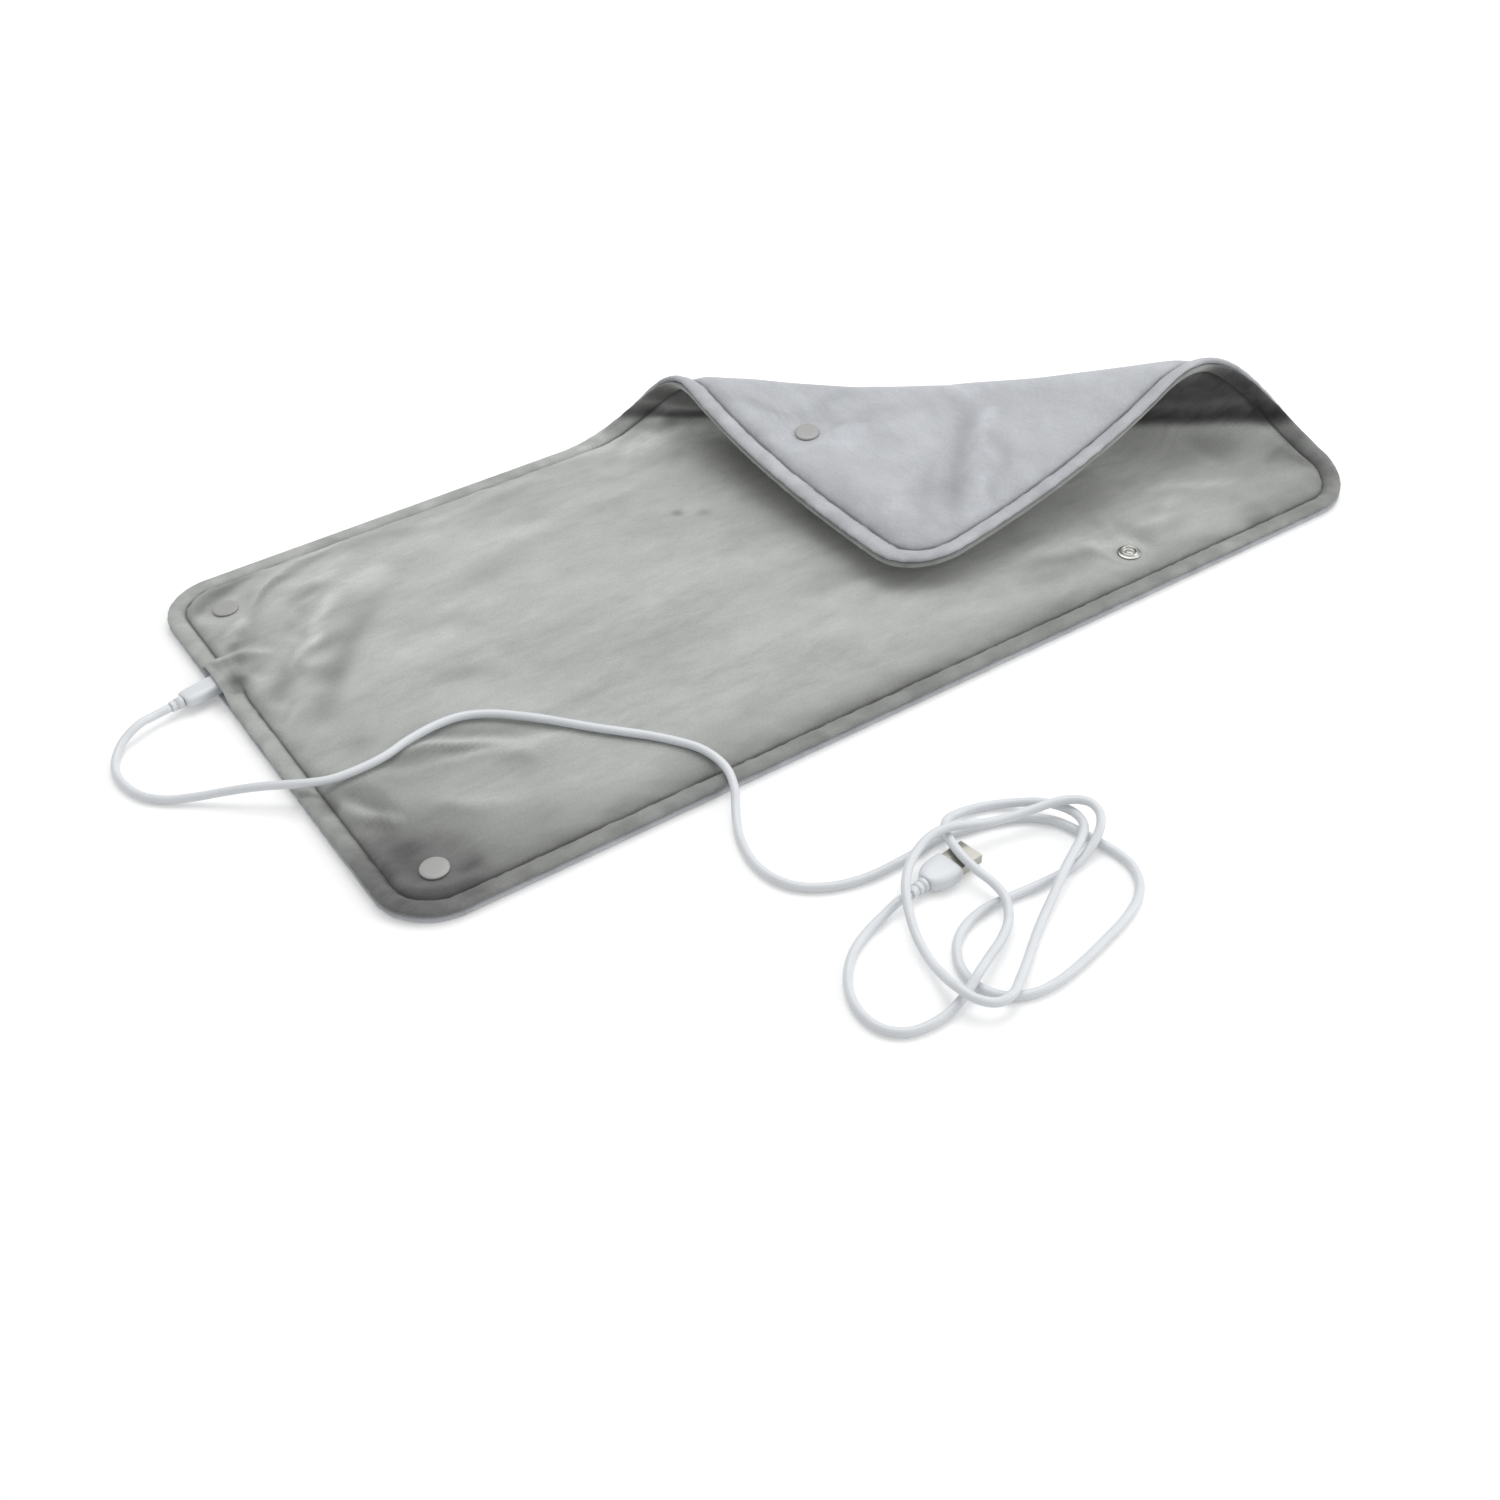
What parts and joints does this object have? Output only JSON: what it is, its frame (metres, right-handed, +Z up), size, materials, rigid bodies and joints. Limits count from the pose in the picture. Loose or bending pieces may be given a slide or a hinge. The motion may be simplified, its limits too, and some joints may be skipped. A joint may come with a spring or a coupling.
{
  "type": "heating pad",
  "caption": "Soft rectangular heating pad in a plush cover with snaps in its corners, one corner folded over, and a thin cord from a side pocket to a USB plug.",
  "frame": {"origin": "on the table, under the middle of the pad's box, the cord left out", "axes": "+X along the pad from its pocket end to its folded end, +Y across it to the back, +Z up"},
  "size_m": [0.6205, 0.4742, 0.067],
  "materials": {
    "plush": "short velvet nap, mid grey",
    "plush_pale": "short velvet nap, pale bluish grey",
    "felt": "matte felt",
    "wire_red": "smooth insulation",
    "lead_white": "smooth insulation",
    "snap_grey": "glossy",
    "white_plastic": "satin moulding",
    "steel": "plain",
    "black_plastic": "matte",
    "blue_plastic": "matte",
    "contact": "plated"
  },
  "bodies": {
    "pad": {"front_cover": "plush", "back_cover": "plush_pale", "front_wadding": "felt", "wire_carrier": "felt", "back_wadding": "felt", "heating_wire_out": "wire_red", "heating_wire_back": "wire_red", "supply_lead": "wire_red", "return_lead": "lead_white", "cutout_lead": "lead_white", "thermal_cutout": "lead_white", "socket_housing": "black_plastic", "socket_shell": "steel", "socket_tongue": "black_plastic", "snap_cap_front_left": "snap_grey", "snap_stud_front_left": "snap_grey", "snap_cap_back_left": "snap_grey", "snap_stud_back_left": "snap_grey", "snap_socket_front_right": "steel", "snap_cap_front_right": "snap_grey"},
    "folded_corner": {"front_cover_flap": "plush", "back_cover_flap": "plush_pale", "front_wadding_flap": "felt", "wire_carrier_flap": "felt", "back_wadding_flap": "felt", "heating_wire_flap": "wire_red", "snap_socket_back_right": "steel", "snap_cap_back_right": "snap_grey"},
    "lead": {"plug_grip": "white_plastic", "plug_neck": "white_plastic", "plug_shell": "steel", "cord": "white_plastic", "usb_neck": "white_plastic", "usb_grip": "white_plastic", "usb_shell": "steel", "usb_tongue": "blue_plastic", "usb_contact_1": "contact", "usb_contact_2": "contact", "usb_contact_3": "contact", "usb_contact_4": "contact"}
  },
  "joints": [
    {"name": "corner_fold", "type": "hinge", "parent": "pad", "child": "folded_corner", "pos_m": [0.14035, 0.0299, 0.03438], "axis": [-0.7437, 0.6671, -0.0436], "range_deg": [0, 170]},
    {"name": "plug_pull", "type": "slide", "parent": "pad", "child": "lead", "axis": [-0.9848, -0.1736, 0], "range_m": [0, 0.01]}
  ]
}
